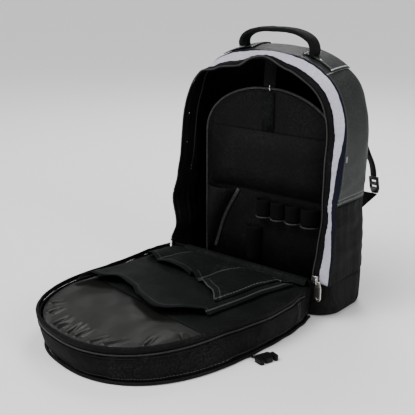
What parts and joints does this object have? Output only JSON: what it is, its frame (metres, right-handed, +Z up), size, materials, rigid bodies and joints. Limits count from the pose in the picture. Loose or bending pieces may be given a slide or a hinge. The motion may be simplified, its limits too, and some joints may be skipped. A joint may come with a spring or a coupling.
{
  "type": "tool backpack",
  "caption": "Black tool backpack with grey upper side panels, standing open, its arched front panel with pockets folded down on the floor",
  "frame": {"origin": "centre of the boot's underside, on the floor", "axes": "+X across the bag to the right as one looks into its opening, +Y from the opening to the back, +Z up"},
  "size_m": [0.4043, 0.5954, 0.4919],
  "materials": {
    "boot_cloth": "heavy woven synthetic cloth, nearly black, matt",
    "coated_cloth": "coated woven cloth, charcoal, soft sheen",
    "padded_cloth": "woven cloth over foam, black",
    "reflective_cloth": "light grey reflective tape on cloth",
    "zip_cloth": "black woven zip tape",
    "pocket_cloth": "dark charcoal woven cloth with light stitching",
    "shiny_cloth": "smooth coated cloth, dark grey, shiny",
    "webbing": "black woven webbing",
    "trim_tape": "light grey binding tape",
    "black_plastic": "moulded black plastic",
    "nickel": "nickel-plated zinc"
  },
  "bodies": {
    "bag": {"base_boot": "boot_cloth", "side_panel_left": "boot_cloth", "side_panel_right": "boot_cloth", "upper_gusset": "coated_cloth", "reflective_tape": "reflective_cloth", "opening_zip_tape": "zip_cloth", "back_panel": "padded_cloth", "shoulder_strap_left": "padded_cloth", "shoulder_strap_right": "padded_cloth", "strap_webbing_left": "webbing", "strap_webbing_right": "webbing", "ladder_lock_left": "black_plastic", "ladder_lock_right": "black_plastic", "strap_wing_left": "boot_cloth", "strap_wing_right": "boot_cloth", "carry_handle": "webbing", "handle_patch_left": "coated_cloth", "handle_patch_right": "coated_cloth", "flap_side_gusset": "boot_cloth", "flap_hinge_wall": "boot_cloth", "flap_front_panel": "boot_cloth", "flap_floor_piping": "webbing", "flap_zip_lip": "zip_cloth", "flap_inner_panel": "pocket_cloth", "flap_coated_panel": "shiny_cloth", "document_pocket": "pocket_cloth", "tool_pocket_row": "pocket_cloth", "document_pocket_binding": "webbing", "rule_pocket_binding": "trim_tape", "hinge_strip": "pocket_cloth", "flap_strap": "webbing", "flap_buckle": "black_plastic", "divider_board": "pocket_cloth", "board_binding": "trim_tape", "tool_panel": "pocket_cloth", "board_webbing": "webbing", "board_hanger": "webbing", "tool_loop_band": "boot_cloth", "tool_loop_binding": "trim_tape", "side_pocket": "pocket_cloth", "pocket_zip_band": "trim_tape", "small_pouch": "boot_cloth", "zip_slider": "nickel"},
    "pull": {"zip_pull": "nickel"}
  },
  "joints": [
    {"name": "zip_pull_hinge", "type": "hinge", "parent": "bag", "child": "pull", "pos_m": [0.15956, -0.0797, 0.0743], "axis": [-1, 0, 0], "range_deg": [0, 120]}
  ]
}
